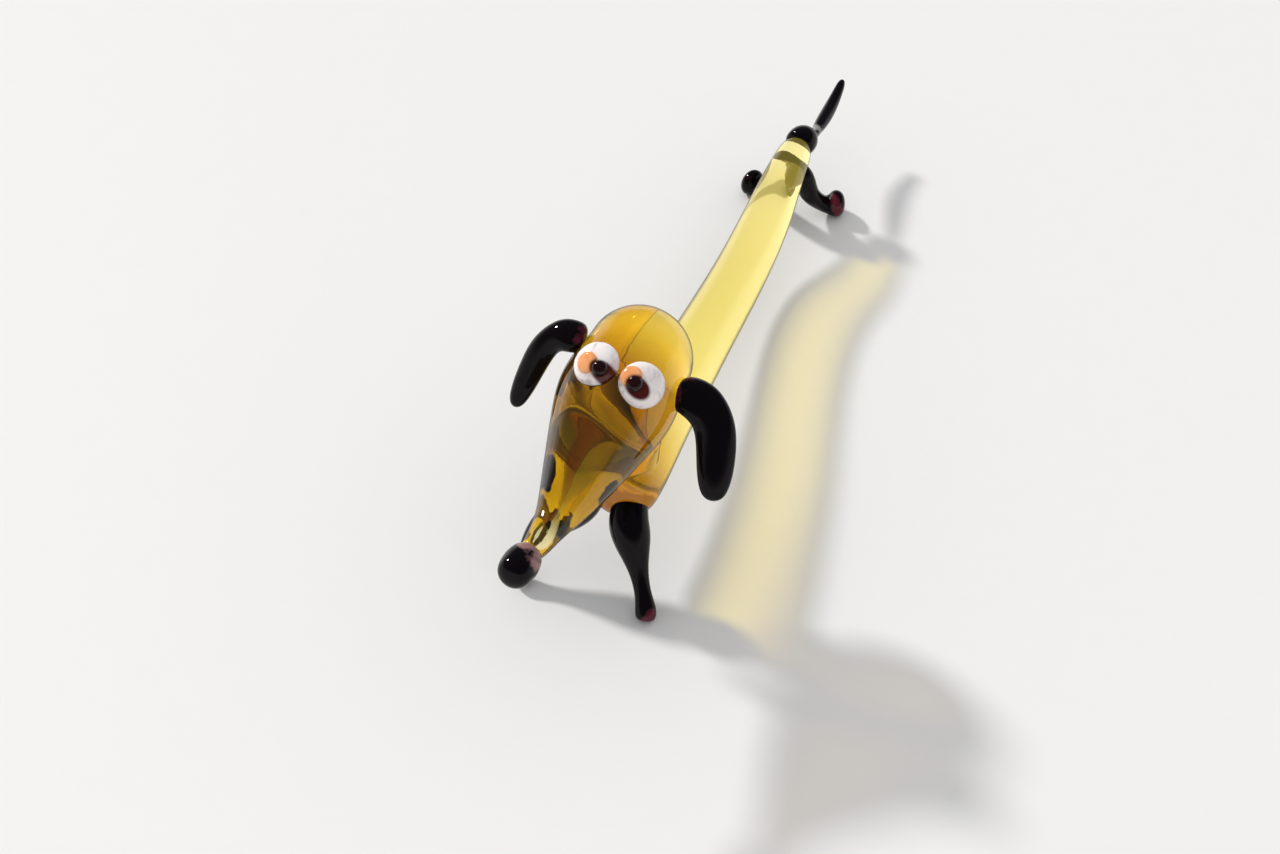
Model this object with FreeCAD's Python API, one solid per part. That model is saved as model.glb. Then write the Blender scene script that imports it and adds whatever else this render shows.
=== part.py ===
import FreeCAD, Part
import math
import os

# A small dachshund figurine, flameworked from coloured glass rod.
# Every piece is one gather of soft glass, or a bead laid on one, fused to its neighbours.
#
# Axes: +X is the dog's left, -Y is the way it faces, +Z is up. Millimetres.
# The origin ends up under the middle of the figurine, on the surface it stands on.

os.makedirs("parts", exist_ok=True)

Vector = FreeCAD.Vector

# ---------------------------------------------------------------- trunk
trunk_length = 63.6          # back end of the rump to the front of the chest
trunk_drift = 1.25           # how far the chest stands to the left of the rump
rump_height = 8.45           # centre line above the ground
belly_height = 6.4
shoulder_height = 9.0
chest_height = 10.1
rump_end_radius = 1.75
rump_radius = 2.05
waist_radius = 3.05
shoulder_radius = 3.4
chest_radius = 3.9
chest_front_radius = 3.4

# ---------------------------------------------------------------- neck
neck_rise = 12.8             # centre of the chest to centre of the skull
neck_set_back = 4.3          # the skull's centre stands behind the chest's centre
neck_lean = -0.5             # and a little to the right of it
neck_radius = 3.2

# ---------------------------------------------------------------- head
skull_radius = 5.4
skull_set_back = 0.2         # the round back of the head is centred this far behind
cheek_radius = 6.3
snout_length = 25.2          # skull's centre to the end of the clear snout
snout_drop = 3.9             # how far the snout's end lies below the skull's centre
snout_root_radius = 5.2
snout_middle_radius = 4.0
snout_slope_radius = 2.65
snout_bow = 0.35             # how far the middle of the snout bends to the left
snout_tip_radius = 1.3
head_turn = -2.8             # degrees about the upright, towards the dog's right
head_roll = 5.0              # degrees about the way it looks, left side down

nose_radius = 1.82
nose_length = 4.5
nose_overlap = 1.0           # the ball begins this far behind the end of the snout
nose_upturn = 0.8            # its front end is this much higher than its back end

# ---------------------------------------------------------------- eyes
eye_radius = 2.32
eye_thickness = 1.5          # from the middle of the white to its crown
eye_gap = 0.12               # left clear between the two whites
eye_shift = 0.5              # the pair of eyes sits this far to the left of the middle line
eye_forward = 6.6            # skull's centre forward to the middle of each eye
iris_radius = 1.1
iris_thickness = 0.35
pupil_radius = 0.82
pupil_thickness = 0.8

# ---------------------------------------------------------------- ears
ear_sink = 1.0               # the root starts this far inside the side of the skull
ear_set_forward = 2.3        # skull's centre forward to the middle of the root
ear_root_half_width_left = 2.2
ear_root_half_width_right = 1.85
ear_flap_half_width_left = 2.0
ear_flap_half_width_right = 1.32
ear_half_thickness = 1.15
ear_forward_left = 5.0       # how far the tip swings forward of the root
ear_forward_right = 4.2
ear_reach_left = 5.6         # how far the ear stands out from its root
ear_reach_right = 4.5
ear_splay_left = 2.0         # how much further out the tip hangs than the bend
ear_splay_right = 1.1
ear_drop_left = 7.5          # root down to tip
ear_drop_right = 8.0
ear_lift_left = 0.35         # root above the skull's centre
ear_lift_right = 2.3

# ---------------------------------------------------------------- forelegs
shoulder_gap = 0.1           # left clear between the two shoulders
shoulder_lean = -0.85        # how far the pair of shoulders sits to the left of the chest's middle
shoulder_forward = 3.0       # middle of the chest forward to the middle of each shoulder
shoulder_drop = 1.6          # and this far below it
foreleg_root_share = 0.35    # a foreleg starts this share of the way from the chest to its shoulder
foreleg_shoulder_radius = 2.1
foreleg_thigh_radius = 2.1
foreleg_knee_radius = 1.0
foreleg_ankle_radius = 0.75
forepaw_radius = 1.25
foreleg_bow_left = 0.1       # how far the knee stands out of the straight line
foreleg_bow_right = 2.4
forepaw_spread = 6.8         # middle line to the middle of each forepaw
forepaw_forward = 8.2        # middle of the chest forward to the middle of each forepaw

# ---------------------------------------------------------------- hind legs
haunch_forward = 2.7         # end of the trunk forward to where the hind legs leave it
haunch_spread = 0.8          # middle line to the start of each hind leg
haunch_drop = 1.0            # rump's centre line down to the start of each hind leg
hindleg_bow_upper = 1.1      # how far its upper part stands out from its start
hindleg_bow_lower = 1.5      # how far its lower part stands out from its start
hindleg_radius = 1.2
hindleg_ankle_radius = 0.9
hindpaw_radius = 1.65
hindpaw_spread = 5.3         # middle line to the middle of each hind paw
hindpaw_forward = 0.5        # end of the trunk forward to the middle of each hind paw

# ---------------------------------------------------------------- rump cap and tail
rump_cap_length = 3.2
rump_cap_radius = 1.9
rump_cap_overlap = 1.0       # the cap begins this far before the end of the trunk
rump_cap_lift = 0.4          # how far the cap is pushed up on the end of the trunk
tail_length = 12.8
tail_dip = 0.9               # how far the middle of the tail hangs below its root
tail_lean = 0.95             # how far the tail stands to the left of the rump's end
tail_overlap = 0.2           # the tail begins this far inside the back of the cap
tail_set_down = 0.3          # and this far below the middle of the rump's end
tail_swing = -0.1            # how far its tip points to the left of its root
tail_root_radius = 0.6
tail_middle_radius = 0.85
tail_tip_radius = 0.45

sole_depth = 0.15            # how much of each paw's round is flattened where it stands


# ================================================================ shared shapes
def unit(vector):
    length = vector.Length
    return Vector(vector.x / length, vector.y / length, vector.z / length)


def ring(centre, across, upward, corners):
    """One half of an elliptical ring, as the five control points of a rational curve."""
    return [centre + across * x + upward * y for x, y in corners]


def gather(stations, up=Vector(0, 0, 1)):
    """A gather of glass drawn out along a line of stations and closed by a dome at both ends.

    A station is (centre, half width, half thickness) and may carry its own upward direction.
    A cubic B-spline blends the stations' ellipses; the end centres are doubled with no radius,
    which rounds the ends off.
    """
    first_half = [(1, 0), (1, 1), (0, 1), (-1, 1), (-1, 0)]
    second_half = [(-1, 0), (-1, -1), (0, -1), (1, -1), (1, 0)]
    weights = [1, math.sqrt(0.5), 1, math.sqrt(0.5), 1]
    last = len(stations) - 1
    faces = []
    for corners in (first_half, second_half):
        rows = []
        for index, station in enumerate(stations):
            centre, half_width, half_thickness = station[:3]
            ahead = stations[min(index + 1, last)][0]
            behind = stations[max(index - 1, 0)][0]
            along = unit(ahead - behind)
            station_up = station[3] if len(station) > 3 else up
            upward = unit(station_up - along * station_up.dot(along))
            across = upward.cross(along)
            if index == 0:
                rows.append([centre] * 5)
            rows.append(ring(centre, across * half_width, upward * half_thickness, corners))
            if index == last:
                rows.append([centre] * 5)
        count = len(rows)
        surface = Part.BSplineSurface()
        surface.buildFromPolesMultsKnots(
            rows,
            [4] + [1] * (count - 4) + [4],
            [3, 2, 3],
            [index / (count - 3) for index in range(count - 2)],
            [0.0, 0.5, 1.0],
            False, False, 3, 2,
            [weights] * count)
        faces.append(surface.toShape())
    shell = Part.makeShell(faces)
    solid = Part.Solid(shell)
    if solid.Volume < 0:
        solid.reverse()
    return solid


def bead(seat, outward, radius, thickness):
    """A flattened bead centred on its seat, its flat way facing outward."""
    outward = unit(outward)
    up = Vector(0, 0, 1)
    long_way = unit(up - outward * up.dot(outward))
    levels = (-0.92, -0.45, 0.45, 0.92)
    widths = (0.56, 1.02, 1.02, 0.56)
    stations = []
    for level, width in zip(levels, widths):
        centre = seat + outward * (thickness * level)
        stations.append((centre, radius * width, radius * width, long_way))
    return gather(stations)


def only_solid(shape):
    """The biggest solid left by a cut, by itself."""
    return max(shape.Solids, key=lambda solid: solid.Volume)


def trim(shape, *neighbours):
    """Take away what the neighbours fill, so that fused pieces meet face to face."""
    for neighbour in neighbours:
        shape = only_solid(shape.cut(neighbour))
    return shape


def mix(first, second, share):
    return first + (second - first) * share


probe_length = 30.0          # longer than the way out of any piece


def seat_on(shape, below, upward):
    """The point where a line leaving `below` comes out through the skin of a solid."""
    probe = Part.makeLine(below, below + unit(upward) * probe_length)
    inside = shape.common(probe)
    points = [vertex.Point for vertex in inside.Vertexes]
    return max(points, key=lambda point: point.distanceToPoint(below))


# ================================================================ trunk and neck
rump_end = Vector(0, 0, rump_height)


def trunk_point(share, height):
    """A point on the trunk's centre line, from the rump (0) to the front of the chest (1)."""
    return Vector(trunk_drift * share, -trunk_length * share, height)


chest_share = 0.952
chest_centre = trunk_point(chest_share, chest_height)
skull_centre = chest_centre + Vector(neck_lean, neck_set_back, neck_rise)


def make_body():
    plan = [
        # share of the length, height of the centre line, radius
        (0.000, rump_height, rump_end_radius),
        (0.037, rump_height, rump_radius),
        (0.116, mix(rump_height, belly_height, 0.20), mix(rump_radius, waist_radius, 0.4)),
        (0.211, belly_height, mix(rump_radius, waist_radius, 0.85)),
        (0.355, belly_height, waist_radius),
        (0.513, mix(belly_height, shoulder_height, 0.55), mix(waist_radius, shoulder_radius, 0.5)),
        (0.657, shoulder_height, shoulder_radius),
        (0.784, mix(shoulder_height, chest_height, 0.60), mix(shoulder_radius, chest_radius, 0.4)),
        (0.879, chest_height, mix(shoulder_radius, chest_radius, 0.8)),
        (chest_share, chest_height, chest_radius),
        (1.000, chest_height, chest_front_radius),
    ]
    stations = [(trunk_point(share, height), radius, radius) for share, height, radius in plan]
    return gather(stations)


def make_neck():
    plan = [
        # share of the way up to the skull's centre, radius as a share of the neck's
        (0.02, 0.90),
        (0.25, 1.00),
        (0.50, 1.00),
        (0.75, 0.95),
    ]
    stations = []
    for share, width in plan:
        centre = mix(chest_centre, skull_centre, share)
        stations.append((centre, neck_radius * width, neck_radius * width))
    return gather(stations, Vector(0, 1, 0))


# ================================================================ head
turned = FreeCAD.Rotation(Vector(0, 0, 1), head_turn)
rolled = FreeCAD.Rotation(Vector(0, 1, 0), head_roll)
head_rotation = turned * rolled


def head_way(left, back, up):
    """A direction given the way the head faces."""
    return head_rotation.multVec(Vector(left, back, up))


def head_point(left, back, up):
    """A point measured from the skull's centre, the way the head faces."""
    return skull_centre + head_way(left, back, up)


def make_head():
    plan = [
        # shares of the snout's length, of its drop and of its bow, radius
        (0.19, 0.23, 0.0, cheek_radius),
        (0.35, 0.46, 0.3, snout_root_radius),
        (0.516, 0.72, 0.8, snout_middle_radius),
        (0.694, 0.92, 1.2, snout_slope_radius),
        (0.853, 1.02, 1.0, snout_tip_radius),
        (1.00, 0.93, 0.4, snout_tip_radius),
    ]
    dome = [
        # shares of the skull's radius: how far back, and half width; together they draw a ball
        (1.000, 0.322),
        (0.709, 0.815),
        (0.147, 1.019),
        (0.055, 0.967),
    ]
    stations = []
    for back, width in dome:
        centre = head_point(0, skull_set_back + skull_radius * back, 0)
        stations.append((centre, skull_radius * width, skull_radius * width))
    for ahead, drop, bow, radius in plan:
        centre = head_point(snout_bow * bow, -snout_length * ahead, -snout_drop * drop)
        stations.append((centre, radius, radius))
    return gather(stations, head_way(0, 0, 1))


def make_nose():
    start = snout_length - nose_overlap
    plan = [
        # share of the nose's length, radius as a share of the nose's
        (0.00, 0.76),
        (0.27, 0.97),
        (0.58, 1.02),
        (1.00, 0.84),
    ]
    stations = []
    for share, width in plan:
        centre = head_point(0, -start - nose_length * share, -snout_drop + nose_upturn * share)
        stations.append((centre, nose_radius * width, nose_radius * width))
    return gather(stations, head_way(0, 0, 1))


def make_ear(side, root_width, flap_width, forward, reach, splay, drop, lift):
    """A drooping ear: out from the side of the skull, over, and down, its flat way forward and up."""
    root = Vector(skull_radius - ear_sink, -ear_set_forward, lift)
    flat = Vector(0.2, -0.68, 0.7)
    plan = [
        # shares of reach, splay, forward swing and drop; root to flap, width, thickness; flat way
        (0.10, 0.00, -0.05, 0.00, 0.00, 0.82, 1.15, Vector(0, 0, 1)),
        (0.36, 0.00, 0.00, -0.02, 0.00, 1.00, 1.15, Vector(side * 0.1, -0.3, 1)),
        (0.68, 0.00, 0.05, 0.01, 0.35, 1.05, 1.10, Vector(side * 0.3, -0.5, 0.8)),
        (0.94, 0.15, 0.20, 0.21, 0.80, 1.02, 1.03, flat),
        (1.00, 0.45, 0.50, 0.535, 1.00, 0.98, 1.00, flat),
        (1.00, 0.80, 0.82, 0.82, 1.00, 0.85, 0.90, flat),
        (1.00, 1.00, 1.00, 1.00, 1.00, 0.50, 0.60, flat),
    ]
    stations = []
    for out, apart, ahead, down, along, width, thick, way in plan:
        left = side * (root.x + reach * out + splay * apart)
        centre = head_point(left, root.y - forward * ahead, root.z - drop * down)
        half_width = mix(root_width, flap_width, along) * width
        faced = head_way(way.x, way.y, way.z)
        stations.append((centre, half_width, ear_half_thickness * thick, faced))
    return gather(stations)


# ================================================================ eyes
def make_eye(side, head, iris_place, pupil_place):
    """White, iris and pupil of one eye, each seated on the one under it."""
    outward = head_way(side * 0.30, -0.45, 0.84)
    left_way = unit(head_way(1, 0, 0) - outward * head_way(1, 0, 0).dot(outward))
    brow_way = outward.cross(left_way)
    out_from_middle = eye_radius + eye_gap / 2
    under_eye = head_point(eye_shift + side * out_from_middle, -eye_forward, 0)
    seat = seat_on(head, under_eye, head_way(0, 0, 1))
    white = bead(seat, outward, eye_radius, eye_thickness)
    layers = [white]
    for place, radius, thickness in (
            (iris_place, iris_radius, iris_thickness),
            (pupil_place, pupil_radius, pupil_thickness)):
        under = seat + left_way * place[0] + brow_way * place[1]
        spot = seat_on(white, under, outward)
        tilt = unit(outward * eye_radius + left_way * place[0] + brow_way * place[1])
        layers.append(bead(spot, tilt, radius, thickness))
    return layers


# ================================================================ legs
ground_width = 400.0         # a slab much bigger than the figurine
ground_depth = 50.0
ground = Part.makeBox(
    ground_width, ground_width, ground_depth,
    Vector(-ground_width / 2, -ground_width / 2, -ground_depth))


def stand(make_leg):
    """Set a leg's paw so that its round dips just under the ground, then flatten it there."""
    free = make_leg(0.0)
    lowest = free.optimalBoundingBox().ZMin
    return trim(make_leg(-sole_depth - lowest), ground)


def make_foreleg(side, bow):
    out = shoulder_lean + side * (foreleg_shoulder_radius + shoulder_gap / 2)
    shoulder = chest_centre + Vector(out, -shoulder_forward, -shoulder_drop)
    root = mix(chest_centre + Vector(out, 0, 0), shoulder, foreleg_root_share)

    def leg(lift):
        paw = Vector(side * forepaw_spread, chest_centre.y - forepaw_forward, forepaw_radius + lift)
        toe = paw + Vector(side * 0.08, -0.5, -0.5) * forepaw_radius
        stations = [
            (root, foreleg_shoulder_radius * 0.8),
            (shoulder, foreleg_shoulder_radius),
            (mix(shoulder, paw, 0.24) + Vector(side * bow * 0.7, 0, 0), foreleg_thigh_radius),
            (mix(shoulder, paw, 0.52) + Vector(side * bow, 0, 0), foreleg_knee_radius),
            (mix(shoulder, paw, 0.80) + Vector(side * bow * 0.5, 0, 0), foreleg_ankle_radius),
            (paw, forepaw_radius),
            (toe, forepaw_radius * 0.75),
        ]
        return gather([(centre, radius, radius) for centre, radius in stations], Vector(1, 0, 0))

    return stand(leg)


def make_hindleg(side):
    haunch = rump_end + Vector(side * haunch_spread, -haunch_forward, -haunch_drop)

    def leg(lift):
        paw = Vector(side * hindpaw_spread, -hindpaw_forward, hindpaw_radius + lift)
        fall = haunch.z - paw.z
        toe_way = Vector(side * hindpaw_radius, hindpaw_radius * 0.4, 0)
        stations = [
            (haunch, hindleg_radius * 0.85),
            (haunch + Vector(side * hindleg_bow_upper, 0, -fall * 0.25), hindleg_radius * 1.05),
            (haunch + Vector(side * hindleg_bow_lower, 0, -fall * 0.65), hindleg_radius),
            (paw - toe_way * 0.75 - Vector(0, 0, fall * 0.05), hindleg_ankle_radius),
            (paw - toe_way * 0.25, hindpaw_radius * 0.95),
            (paw + toe_way * 0.25, hindpaw_radius * 1.05),
            (paw + toe_way * 0.60, hindpaw_radius * 0.55),
        ]
        return gather([(centre, radius, radius) for centre, radius in stations], Vector(0, 1, 0.2))

    return stand(leg)


# ================================================================ rump cap and tail
def make_rump_cap():
    plan = [
        # share of the cap's length, share of its lift, radius as a share of the cap's
        (0.00, 1.0, 0.85),
        (0.31, 1.0, 1.00),
        (0.75, 0.4, 0.92),
        (1.00, 0.0, 0.58),
    ]
    stations = []
    for share, lift, width in plan:
        back = rump_cap_length * share - rump_cap_overlap
        centre = rump_end + Vector(tail_lean * share / 2, back, rump_cap_lift * lift)
        stations.append((centre, rump_cap_radius * width, rump_cap_radius * width))
    return gather(stations)


def make_tail():
    back = rump_cap_length - rump_cap_overlap - tail_overlap
    root = rump_end + Vector(tail_lean, back, -tail_set_down)
    plan = [
        # share of the tail's length, share of its dip, radius
        (0.00, 0.0, tail_root_radius * 0.8),
        (0.14, 0.2, tail_root_radius),
        (0.37, 0.8, tail_middle_radius),
        (0.61, 1.1, tail_middle_radius * 0.95),
        (0.86, 0.8, mix(tail_middle_radius, tail_tip_radius, 0.6)),
        (1.00, 0.3, tail_tip_radius),
    ]
    stations = []
    for share, dip, radius in plan:
        centre = root + Vector(tail_swing * share, tail_length * share, -tail_dip * dip)
        stations.append((centre, radius, radius))
    return gather(stations)


# ================================================================ assembly
pieces = {}
pieces["body"] = make_body()
pieces["head"] = make_head()
pieces["neck"] = trim(make_neck(), pieces["body"], pieces["head"])
pieces["nose"] = trim(make_nose(), pieces["head"])

ear_left = make_ear(
    1, ear_root_half_width_left, ear_flap_half_width_left, ear_forward_left, ear_reach_left,
    ear_splay_left, ear_drop_left, ear_lift_left)
ear_right = make_ear(
    -1, ear_root_half_width_right, ear_flap_half_width_right, ear_forward_right, ear_reach_right,
    ear_splay_right, ear_drop_right, ear_lift_right)
pieces["ear_left"] = trim(ear_left, pieces["head"])
pieces["ear_right"] = trim(ear_right, pieces["head"])

# where each iris and pupil sits on its white: towards the dog's left, and up the brow
eye_places = {
    "left": (1, (-1.35, 0.05), (-0.75, -0.50)),
    "right": (-1, (-0.25, -0.45), (1.20, -0.65)),
}
for name, (side, iris_place, pupil_place) in eye_places.items():
    white, iris, pupil = make_eye(side, pieces["head"], iris_place, pupil_place)
    white = trim(white, pieces["head"])
    if name == "right":
        white = trim(white, pieces["eye_white_left"])
    iris = trim(iris, white, pieces["head"])
    pupil = trim(pupil, white, iris, pieces["head"])
    pieces["eye_white_" + name] = white
    pieces["iris_" + name] = iris
    pieces["pupil_" + name] = pupil

pieces["foreleg_left"] = trim(make_foreleg(1, foreleg_bow_left), pieces["body"])
pieces["foreleg_right"] = trim(make_foreleg(-1, foreleg_bow_right), pieces["body"])
pieces["hindleg_left"] = trim(make_hindleg(1), pieces["body"])
pieces["hindleg_right"] = trim(make_hindleg(-1), pieces["body"])

pieces["rump_cap"] = trim(make_rump_cap(), pieces["body"])
pieces["tail"] = trim(make_tail(), pieces["rump_cap"])

# the soles already lie on z = 0, so the figurine is only moved sideways
whole = Part.makeCompound(list(pieces.values()))
around = whole.optimalBoundingBox()
to_origin = Vector(-around.Center.x, -around.Center.y, 0)

for name, shape in pieces.items():
    shape.translate(to_origin)
    shape.exportStep("parts/" + name + ".step")
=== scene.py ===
import math

import bpy
import numpy as np
from bpy.props import FloatProperty, FloatVectorProperty, PointerProperty
from mathutils import Matrix, Vector
from mathutils.bvhtree import BVHTree


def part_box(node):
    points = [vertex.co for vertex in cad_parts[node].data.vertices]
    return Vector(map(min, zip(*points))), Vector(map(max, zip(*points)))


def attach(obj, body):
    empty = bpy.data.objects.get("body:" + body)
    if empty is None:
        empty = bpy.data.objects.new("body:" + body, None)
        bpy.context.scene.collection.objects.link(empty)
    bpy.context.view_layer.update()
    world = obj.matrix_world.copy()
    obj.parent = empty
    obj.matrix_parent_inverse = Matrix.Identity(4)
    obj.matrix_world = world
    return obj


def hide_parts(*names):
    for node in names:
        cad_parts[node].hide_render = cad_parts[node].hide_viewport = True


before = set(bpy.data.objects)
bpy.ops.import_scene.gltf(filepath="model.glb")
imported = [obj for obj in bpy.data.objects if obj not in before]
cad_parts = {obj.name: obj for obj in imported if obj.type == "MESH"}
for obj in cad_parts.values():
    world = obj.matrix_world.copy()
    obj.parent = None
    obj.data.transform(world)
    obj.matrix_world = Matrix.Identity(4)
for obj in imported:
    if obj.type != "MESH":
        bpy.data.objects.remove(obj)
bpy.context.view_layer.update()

bl_info = {
    "name": "Flameworked dachshund",
    "version": (1, 0, 0),
    "blender": (4, 5, 0),
    "location": "3D View > Sidebar > Dachshund",
    "description": "Draws a small dachshund of fused amber, amethyst and white glass",
    "category": "Object",
}

# Axes: +X is the dog's left, -Y is the way it faces, +Z is up. The surface it stands on is z = 0.
MM = 0.001
UP = (0.0, 0.0, 1.0)
SKIN = 0.25 * MM  # how deep the dark glass reaches into the amber that it is fused to
CHEST = 0.952  # share of the trunk's length from the rump's end to the middle of the chest
ROOT = 0.35  # share of the way from the chest's middle to the shoulder where a foreleg begins
SMEAR_AND_SHADOW = (0.4, -0.2)  # millimetres from a pupil's middle to the middle of its dark red smear, which is partly painted shadow: left, and up the brow
GRAIN = 0.17 * MM  # how finely the amber pieces are fused into one
SOFTENING = 12  # how many times the fused seams are smoothed
PAW_REACH = 1.5 * MM  # middle of a paw to where its painted glow is full


def linear(code):
    """An sRGB colour written as a hex code, turned to the linear values that the shaders work in."""
    parts = np.array([int(code[at:at + 2], 16) for at in (1, 3, 5)]) / 255.0
    return tuple(np.where(parts <= 0.04045, parts / 12.92, ((parts + 0.055) / 1.055) ** 2.4))


def length(name, about, millimetres):
    return FloatProperty(
        name=name, description=about, default=millimetres * MM, unit="LENGTH", precision=4)


def colour(name, about, code):
    return FloatVectorProperty(
        name=name, description=about, default=linear(code), subtype="COLOR", min=0.0, max=1.0)


# ================================================================ sizes and colours
body_low, body_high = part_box("body")


class TrunkSizes(bpy.types.PropertyGroup):
    length: length("Length", "Rump to the front of the chest", (body_high.y - body_low.y) / MM)
    drift: length("Drift", "How far the chest stands to the left of the rump", 1.25)
    rump_height: length("Rump height", "Centre line of the rump above the ground", 8.45)
    belly_height: length("Belly height", "Centre line of the belly above the ground", 6.4)
    shoulder_height: length("Shoulder height", "Centre line at the shoulders", 9.0)
    chest_height: length("Chest height", "Centre line of the chest", 10.1)
    rump_end_radius: length("Rump end radius", "Radius at the very end", 1.75)
    rump_radius: length("Rump radius", "Radius of the rump", 2.05)
    waist_radius: length("Waist radius", "Radius of the belly", 3.05)
    shoulder_radius: length("Shoulder radius", "Radius at the shoulders", 3.4)
    chest_radius: length("Chest radius", "Radius of the chest", 3.9)
    chest_front_radius: length("Chest front radius", "Radius at the chest's front", 3.4)
    neck_rise: length("Neck rise", "Chest centre up to the skull's centre", 12.8)
    neck_set_back: length("Neck set back", "Skull's centre behind the chest's", 4.3)
    neck_lean: length("Neck lean", "Skull's centre to the left of the chest's", -0.5)
    neck_radius: length("Neck radius", "Radius of the neck", 3.2)


class HeadSizes(bpy.types.PropertyGroup):
    skull_radius: length("Skull radius", "Radius of the back of the head", 5.4)
    skull_set_back: length("Skull set back", "Centre of the round back of the head", 0.2)
    cheek_radius: length("Cheek radius", "Radius under the eyes", 6.3)
    snout_length: length("Snout length", "Skull's centre to the end of the snout", 25.2)
    snout_drop: length("Snout drop", "How far the snout's end lies below the skull", 3.9)
    snout_root_radius: length("Snout root radius", "Radius before the eyes", 5.2)
    snout_middle_radius: length("Snout middle radius", "Radius half way along", 4.0)
    snout_slope_radius: length("Snout slope radius", "Radius where the snout narrows", 2.65)
    snout_bow: length("Snout bow", "How far the snout bends to the left", 0.35)
    snout_tip_radius: length("Snout tip radius", "Radius behind the nose", 1.3)
    turn: FloatProperty(
        name="Head turn", description="Turn about the upright", default=math.radians(-2.8),
        subtype="ANGLE")
    roll: FloatProperty(
        name="Head roll", description="Left side down", default=math.radians(5.0), subtype="ANGLE")
    nose_radius: length("Nose radius", "Radius of the nose", 1.82)
    nose_length: length("Nose length", "Back of the nose to its front", 4.5)
    nose_overlap: length("Nose overlap", "How far the nose reaches back into the snout", 1.0)
    nose_upturn: length("Nose upturn", "How much higher its front end is", 0.8)


class EyeSizes(bpy.types.PropertyGroup):
    radius: length("White radius", "Radius of each white", 2.32)
    thickness: length("White thickness", "Middle of the white to its crown", 1.5)
    gap: length("Gap", "Left clear between the whites", 0.12)
    shift: length("Shift", "The pair sits this far to the left", 0.5)
    forward: length("Forward", "Skull's centre forward to the eyes", 6.6)
    iris_radius: length("Iris radius", "Radius of the orange dot", 1.1)
    iris_thickness: length("Iris thickness", "How far the dot stands up", 0.35)
    pupil_radius: length("Pupil radius", "Radius of the dark bead", 0.82)
    pupil_thickness: length("Pupil thickness", "How far the bead stands up", 0.8)


class EarSizes(bpy.types.PropertyGroup):
    sink: length("Sink", "How deep the root starts inside the skull", 1.0)
    set_forward: length("Set forward", "Skull's centre forward to the root", 2.3)
    root_left: length("Left root half width", "Middle to edge at the root", 2.2)
    root_right: length("Right root half width", "Middle to edge at the root", 1.85)
    flap_left: length("Left flap half width", "Middle to edge of the flap", 2.0)
    flap_right: length("Right flap half width", "Middle to edge of the flap", 1.32)
    half_thickness: length("Half thickness", "Middle to face", 1.15)
    forward_left: length("Left forward", "How far the tip swings forward", 5.0)
    forward_right: length("Right forward", "How far the tip swings forward", 4.2)
    reach_left: length("Left reach", "How far it stands out", 5.6)
    reach_right: length("Right reach", "How far it stands out", 4.5)
    splay_left: length("Left splay", "How much further out the tip hangs", 2.0)
    splay_right: length("Right splay", "How much further out the tip hangs", 1.1)
    drop_left: length("Left drop", "Root down to tip", 7.5)
    drop_right: length("Right drop", "Root down to tip", 8.0)
    lift_left: length("Left lift", "Root above the skull's centre", 0.35)
    lift_right: length("Right lift", "Root above the skull's centre", 2.3)


class LegSizes(bpy.types.PropertyGroup):
    shoulder_gap: length("Shoulder gap", "Left clear between the shoulders", 0.1)
    shoulder_lean: length("Shoulder lean", "The pair sits this far to the left of the chest", -0.85)
    shoulder_forward: length("Shoulder forward", "Chest's middle forward to the shoulder", 3.0)
    shoulder_drop: length("Shoulder drop", "Chest's middle down to the shoulder", 1.6)
    shoulder_radius: length("Shoulder radius", "Radius at the shoulder", 2.1)
    thigh_radius: length("Thigh radius", "Radius of the upper foreleg", 2.1)
    knee_radius: length("Knee radius", "Radius at the knee", 1.0)
    ankle_radius: length("Ankle radius", "Radius at the ankle", 0.75)
    forepaw_radius: length("Forepaw radius", "Radius of the forepaw", 1.25)
    bow_left: length("Left bow", "Knee out of the straight line", 0.1)
    bow_right: length("Right bow", "Knee out of the straight line", 2.4)
    forepaw_spread: length("Forepaw spread", "Middle line to the forepaw", 6.8)
    forepaw_forward: length("Forepaw forward", "Chest's middle forward to the paw", 8.2)
    haunch_forward: length("Haunch forward", "End of the trunk forward to the haunch", 2.7)
    haunch_spread: length("Haunch spread", "Middle line to the haunch", 0.8)
    haunch_drop: length("Haunch drop", "Rump's centre line down to the haunch", 1.0)
    hindleg_bow_upper: length("Upper bow", "How far its upper part stands out", 1.1)
    hindleg_bow_lower: length("Lower bow", "How far its lower part stands out", 1.5)
    hindleg_radius: length("Hind leg radius", "Radius of the hind leg", 1.2)
    hindleg_ankle_radius: length("Hind ankle radius", "Radius above the hind paw", 0.9)
    hindpaw_radius: length("Hind paw radius", "Radius of the hind paw", 1.65)
    hindpaw_spread: length("Hind paw spread", "Middle line to the hind paw", 5.3)
    hindpaw_forward: length("Hind paw forward", "End of the trunk forward to the paw", 0.5)
    sole_depth: length("Sole depth", "How much of each paw is flattened", 0.15)


class RumpSizes(bpy.types.PropertyGroup):
    cap_length: length("Cap length", "Front of the cap to its back", 3.2)
    cap_radius: length("Cap radius", "Radius of the cap", 1.9)
    cap_overlap: length("Cap overlap", "How far it reaches over the trunk's end", 1.0)
    cap_lift: length("Cap lift", "How far it is pushed up", 0.4)
    tail_length: length("Tail length", "Root to tip", 12.8)
    tail_dip: length("Tail dip", "How far its middle hangs", 0.9)
    tail_lean: length("Tail lean", "How far it stands to the left", 0.95)
    tail_overlap: length("Tail overlap", "How far it begins inside the cap", 0.2)
    tail_set_down: length("Tail set down", "Root below the middle of the rump's end", 0.3)
    tail_swing: length("Tail swing", "How far its tip points to the left", -0.1)
    tail_root_radius: length("Tail root radius", "Radius at the root", 0.6)
    tail_middle_radius: length("Tail middle radius", "Radius half way", 0.85)
    tail_tip_radius: length("Tail tip radius", "Radius at the tip", 0.45)


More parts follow.
